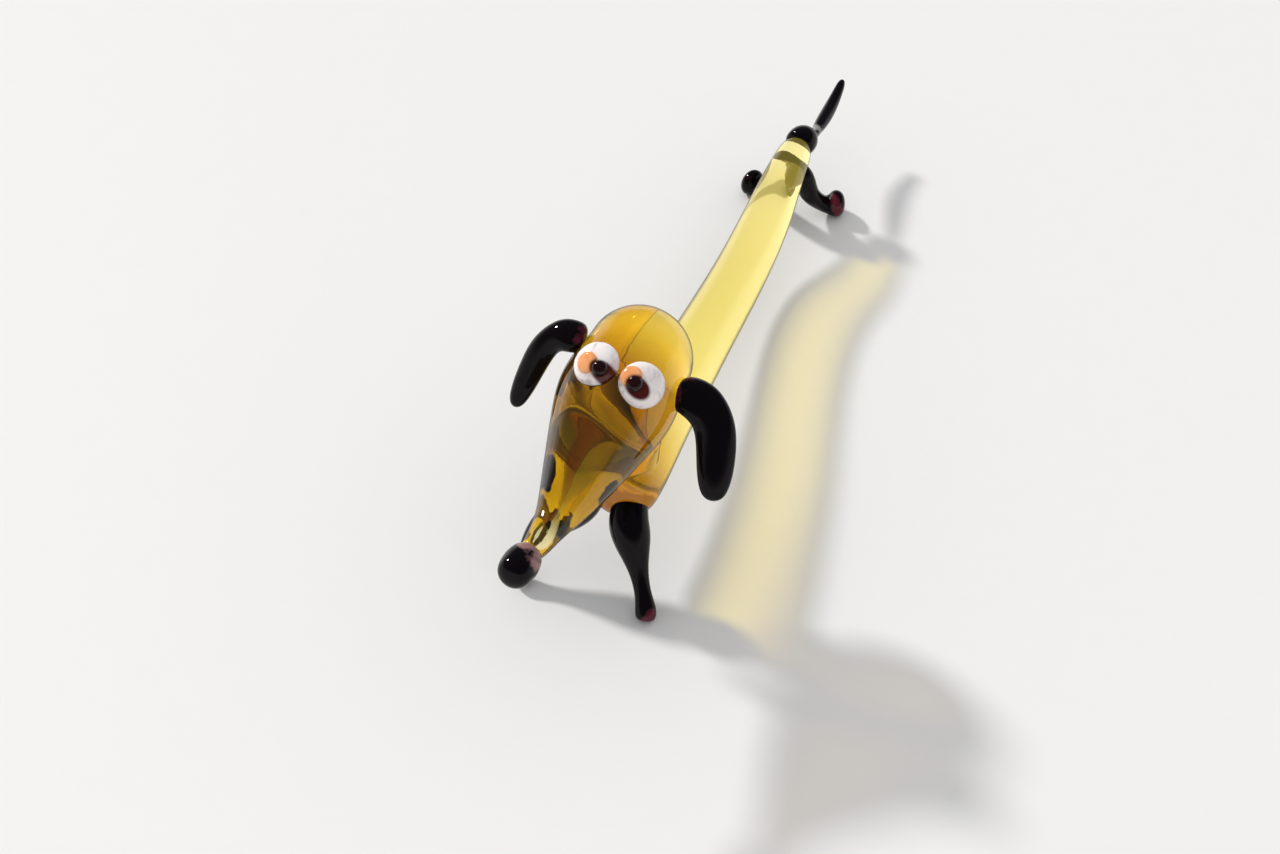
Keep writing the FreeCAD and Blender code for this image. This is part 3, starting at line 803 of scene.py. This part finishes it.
def ruby_glass(glass):
    """Dark red glass, a small flame-polished bead: glossy, nearly black and only faintly clear, with
    a dark red shadow on the white that it sits on."""
    material, tree = new_material("dark ruby glass, flame-polished")
    place = add(tree, "ShaderNodeTexCoord")
    clouds = add(tree, "ShaderNodeTexNoise", Vector=place.outputs["Object"], Scale=1500.0)
    tint = add(
        tree, "ShaderNodeMix", {"data_type": "RGBA"}, Factor=clouds.outputs[0],
        i6=tuple(glass.ruby), i7=linear("#180404"))
    body = add(
        tree, "ShaderNodeBsdfPrincipled", Base_Color=tint.outputs[2], Roughness=0.02, IOR=1.52,
        Specular_IOR_Level=0.25, Transmission_Weight=0.2)
    shade = add(tree, "ShaderNodeBsdfTransparent", Color=linear("#A03028"))
    path = add(tree, "ShaderNodeLightPath")
    both = add(
        tree, "ShaderNodeMixShader", i0=path.outputs["Is Shadow Ray"], i1=body.outputs[0],
        i2=shade.outputs[0])
    add(tree, "ShaderNodeOutputMaterial", Surface=both.outputs[0])
    return material


def pale_sheet(studio):
    """Pale smooth card, faintly mottled: matt, with only a soft sheen."""
    material, tree = new_material("pale card, matt")
    place = add(tree, "ShaderNodeTexCoord")
    fibres = add(tree, "ShaderNodeTexNoise", Vector=place.outputs["Object"], Scale=300.0, Detail=4.0)
    base = tuple(studio.floor)
    tint = add(
        tree, "ShaderNodeMix", {"data_type": "RGBA"}, Factor=fibres.outputs[0],
        i6=base, i7=tuple(value * 0.985 for value in base))
    body = add(
        tree, "ShaderNodeBsdfPrincipled", Base_Color=tint.outputs[2], Roughness=0.6, IOR=1.45)
    add(tree, "ShaderNodeOutputMaterial", Surface=body.outputs[0])
    return material


# ================================================================ pieces
def make_piece(name, shapes, material, nodes):
    """Put shapes into one mesh object that rides on the root body and stands for CAD nodes.

    Each shape's marks are kept as the attribute "tone", which the finishes read.
    """
    points, faces, tones = [], [], []
    count = 0
    for shape_points, shape_faces, marks in shapes:
        points.append(shape_points)
        faces += [[corner + count for corner in face] for face in shape_faces]
        tones.append(marks)
        count += len(shape_points)
    mesh = bpy.data.meshes.new(name)
    mesh.from_pydata(np.vstack(points).tolist(), [], faces)
    mesh.attributes.new("tone", "FLOAT", "POINT").data.foreach_set("value", np.concatenate(tones))
    mesh.shade_smooth()
    mesh.materials.append(material)
    piece = bpy.data.objects.new(name, mesh)
    bpy.context.scene.collection.objects.link(piece)
    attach(piece, "root")
    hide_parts(*nodes)
    return piece


def cut_back(piece, shape):
    """Take away from a piece what lies deeper than the skin of the glass it is fused to."""
    mesh = bpy.data.meshes.new("cutter")
    mesh.from_pydata(shape[0].tolist(), [], shape[1])
    cutter = bpy.data.objects.new("cutter", mesh)
    bpy.context.scene.collection.objects.link(cutter)
    cut = piece.modifiers.new("cut", "BOOLEAN")
    cut.operation = "DIFFERENCE"
    cut.solver = "EXACT"
    cut.object = cutter
    trimmed = bpy.data.meshes.new_from_object(
        piece.evaluated_get(bpy.context.evaluated_depsgraph_get()))
    if not trimmed.polygons:
        raise RuntimeError("nothing is left of " + piece.name)
    piece.modifiers.clear()
    piece.data = trimmed
    bpy.data.objects.remove(cutter)


def melt_together(piece, grain, passes):
    """Fuse a piece's overlapping shapes into one skin and soften the seams between them."""
    fuse = piece.modifiers.new("fuse", "REMESH")
    fuse.mode = "VOXEL"
    fuse.voxel_size = grain
    soften = piece.modifiers.new("soften", "SMOOTH")
    soften.factor = 0.5
    soften.iterations = passes
    material = piece.data.materials[0]
    fused = bpy.data.meshes.new_from_object(
        piece.evaluated_get(bpy.context.evaluated_depsgraph_get()))
    if not fused.polygons:
        raise RuntimeError("nothing is left of " + piece.name)
    piece.modifiers.clear()
    piece.data = fused
    fused.materials.clear()
    fused.materials.append(material)
    fused.shade_smooth()


class DACHSHUND_OT_amber(bpy.types.Operator):
    """Draw the trunk, neck, head and snout as one body of amber glass"""

    bl_idname = "dachshund.amber"
    bl_label = "Amber body"

    def execute(self, context):
        dog = Dog(context.scene)
        piece = make_piece(
            "amber_body", [dog.body(), dog.neck(), dog.head_shape()],
            amber_glass(context.scene.dachshund_glass, dog), ("body", "neck", "head"))
        melt_together(piece, GRAIN, SOFTENING)
        return {"FINISHED"}


def plain_amethyst(glass):
    """The dark glass of the ears, legs and rump cap, wine-red where it is thin, and wine-red on one side
    of each paw as a painted glow.
    """
    return amethyst_glass(
        glass, "dark amethyst glass, flame-polished", tuple(glass.amethyst_thin_and_glow))


def dark_piece(node, shape, material, fused_to=None):
    """Make a piece of dark glass that reaches only a skin's depth into what it is fused to."""
    piece = make_piece("glass_" + node, [shape], material, (node,))
    if fused_to is not None:
        cut_back(piece, fused_to)


class DACHSHUND_OT_nose(bpy.types.Operator):
    """Set the dark ball of the nose on the snout's end"""

    bl_idname = "dachshund.nose"
    bl_label = "Nose"

    def execute(self, context):
        dog = Dog(context.scene)
        glass = context.scene.dachshund_glass
        smeared = amethyst_glass(
            glass, "dark amethyst glass, smeared over clear", tuple(glass.nose_skin))
        dark_piece("nose", dog.nose(), smeared, dog.head_shape(SKIN, 64, 120))
        return {"FINISHED"}


class DACHSHUND_OT_ears(bpy.types.Operator):
    """Hang the two ears from the sides of the skull"""

    bl_idname = "dachshund.ears"
    bl_label = "Ears"

    def execute(self, context):
        dog = Dog(context.scene)
        material = plain_amethyst(context.scene.dachshund_glass)
        skull = dog.head_shape(SKIN, 64, 120)
        for side, word in ((1, "left"), (-1, "right")):
            dark_piece("ear_" + word, dog.ear(side, word), material, skull)
        return {"FINISHED"}


class DACHSHUND_OT_legs(bpy.types.Operator):
    """Stand the four legs under the chest and the rump"""

    bl_idname = "dachshund.legs"
    bl_label = "Legs"

    def execute(self, context):
        dog = Dog(context.scene)
        material = plain_amethyst(context.scene.dachshund_glass)
        trunk = dog.body(SKIN, 64, 200)
        dark_piece("foreleg_left", dog.foreleg(1, dog.legs.bow_left), material, trunk)
        dark_piece("foreleg_right", dog.foreleg(-1, dog.legs.bow_right), material, trunk)
        # the last number is how strong the painted glow on each hind paw is
        dark_piece("hindleg_left", dog.hindleg(1, 1.0), material, trunk)
        dark_piece("hindleg_right", dog.hindleg(-1, 0.6), material, trunk)
        return {"FINISHED"}


class DACHSHUND_OT_rump(bpy.types.Operator):
    """Cap the rump and draw the tail out of it"""

    bl_idname = "dachshund.rump"
    bl_label = "Rump cap and tail"

    def execute(self, context):
        dog = Dog(context.scene)
        glass = context.scene.dachshund_glass
        faded = amethyst_glass(
            glass, "dark amethyst glass, drawn out to clear", tuple(glass.tail_root))
        dark_piece("rump_cap", dog.rump_cap(), plain_amethyst(glass), dog.body(SKIN, 64, 200))
        dark_piece("tail", dog.tail(), faded)
        return {"FINISHED"}


class DACHSHUND_OT_eyes(bpy.types.Operator):
    """Lay the whites, orange irises and ruby pupils on the brow"""

    bl_idname = "dachshund.eyes"
    bl_label = "Eyes"

    def execute(self, context):
        dog = Dog(context.scene)
        glass = context.scene.dachshund_glass
        finishes = (
            ("eye_white_", white_glass(glass), "white_glass"),
            ("iris_", orange_glass(glass), "orange_glass"),
            ("pupil_", ruby_glass(glass), "amethyst_glass"),
        )
        # where each iris and pupil sits on its white, in millimetres: left, and up the brow
        eyes = {
            "left": dog.eye(1, (-1.35, 0.05), (-0.75, -0.50)),
            "right": dog.eye(-1, (-0.25, -0.45), (1.20, -0.65)),
        }
        for side, layers in eyes.items():
            for layer, (name, material, slot) in zip(layers, finishes):
                make_piece("glass_" + name + side, [layer], material, (name + side,))
        return {"FINISHED"}


class DACHSHUND_OT_stage(bpy.types.Operator):
    """Lay the pale floor and set the lights and the camera"""

    bl_idname = "dachshund.stage"
    bl_label = "Stage"

    def execute(self, context):
        scene = context.scene
        studio = scene.dachshund_studio
        corners = [(-2, -2), (2, -2), (2, 2), (-2, 2)]
        card = bpy.data.meshes.new("floor")
        card.from_pydata([(x, y, -0.02 * MM) for x, y in corners], [], [(0, 1, 2, 3)])
        card.materials.append(pale_sheet(studio))
        floor = bpy.data.objects.new("floor", card)
        scene.collection.objects.link(floor)

        world = bpy.data.worlds.new("dim room")
        world.use_nodes = True
        world.node_tree.nodes.clear()
        tree = world.node_tree
        way = add(tree, "ShaderNodeTexCoord")
        parts = add(tree, "ShaderNodeSeparateXYZ", Vector=way.outputs["Generated"])
        rise = add(
            tree, "ShaderNodeMapRange", {"interpolation_type": "SMOOTHSTEP"},
            Value=parts.outputs["Z"], From_Min=0.02, From_Max=0.32)
        walls = add(
            tree, "ShaderNodeMix", {"data_type": "RGBA"}, Factor=rise.outputs[0],
            i6=linear("#F4F1EC"), i7=tuple(studio.sky_power * part for part in linear("#CBD8EC")))
        room = add(tree, "ShaderNodeBackground", Color=walls.outputs[2])
        add(tree, "ShaderNodeOutputWorld", Surface=room.outputs[0])
        scene.world = world

        lights = (
            # name, where it shines from, strength, how wide it looks, whether gloss shows it
            ("key", (-1.49, 0.59, 1.0), studio.key_power, 6.0, True),
            ("fill", (0.0, 0.0, 1.0), studio.fill_power, 150.0, False),
        )
        for name, source, power, width, shows in lights:
            lamp = bpy.data.lights.new(name, "SUN")
            lamp.energy = power
            lamp.angle = math.radians(width)
            light = bpy.data.objects.new(name, lamp)
            light.rotation_mode = "QUATERNION"
            light.rotation_quaternion = Vector(source).to_track_quat("Z", "Y")
            light.visible_glossy = shows
            light.visible_transmission = shows
            scene.collection.objects.link(light)

        # the camera aims at the withers, from a little to the left of straight ahead and half
        # way up the sky, and is tipped very slightly
        aim = Vector(Dog(scene).rump_end + at(0.5, -54.6, 3.55) * MM)
        turn, rise, roll = (math.radians(angle) for angle in (19.8, 45.0, 1.4))
        back = Vector(
            (math.sin(turn) * math.cos(rise), -math.cos(turn) * math.cos(rise), math.sin(rise)))
        lens = bpy.data.cameras.new("camera")
        lens.lens = studio.lens
        lens.sensor_width = 36.0
        camera = bpy.data.objects.new("camera", lens)
        camera.location = aim + back * studio.distance
        camera.rotation_mode = "QUATERNION"
        camera.rotation_quaternion = (
            back.to_track_quat("Z", "Y") @ Matrix.Rotation(roll, 3, "Z").to_quaternion())
        lens.clip_start = 0.01
        lens.clip_end = 10.0
        scene.collection.objects.link(camera)
        scene.camera = camera
        scene.view_settings.view_transform = "Standard"
        scene.cycles.caustics_refractive = False
        scene.cycles.caustics_reflective = False
        return {"FINISHED"}


class DACHSHUND_PT_panel(bpy.types.Panel):
    bl_idname = "DACHSHUND_PT_panel"
    bl_label = "Flameworked dachshund"
    bl_space_type = "VIEW_3D"
    bl_region_type = "UI"
    bl_category = "Dachshund"

    def draw(self, context):
        for operator in OPERATORS:
            self.layout.operator(operator.bl_idname)
        for name, group in GROUPS.items():
            box = self.layout.box()
            for field in group.__annotations__:
                box.prop(getattr(context.scene, name), field)


OPERATORS = (
    DACHSHUND_OT_amber, DACHSHUND_OT_nose, DACHSHUND_OT_ears, DACHSHUND_OT_legs,
    DACHSHUND_OT_rump, DACHSHUND_OT_eyes, DACHSHUND_OT_stage)


def register():
    for group in GROUPS.values():
        bpy.utils.register_class(group)
    for kind in (*OPERATORS, DACHSHUND_PT_panel):
        bpy.utils.register_class(kind)
    for name, group in GROUPS.items():
        setattr(bpy.types.Scene, name, PointerProperty(type=group))


def unregister():
    for name in GROUPS:
        delattr(bpy.types.Scene, name)
    for kind in (DACHSHUND_PT_panel, *reversed(OPERATORS)):
        bpy.utils.unregister_class(kind)
    for group in reversed(GROUPS.values()):
        bpy.utils.unregister_class(group)


def main():
    register()
    bpy.ops.dachshund.amber()
    bpy.ops.dachshund.nose()
    bpy.ops.dachshund.ears()
    bpy.ops.dachshund.legs()
    bpy.ops.dachshund.rump()
    bpy.ops.dachshund.eyes()
    bpy.ops.dachshund.stage()


if __name__ == "__main__":
    main()
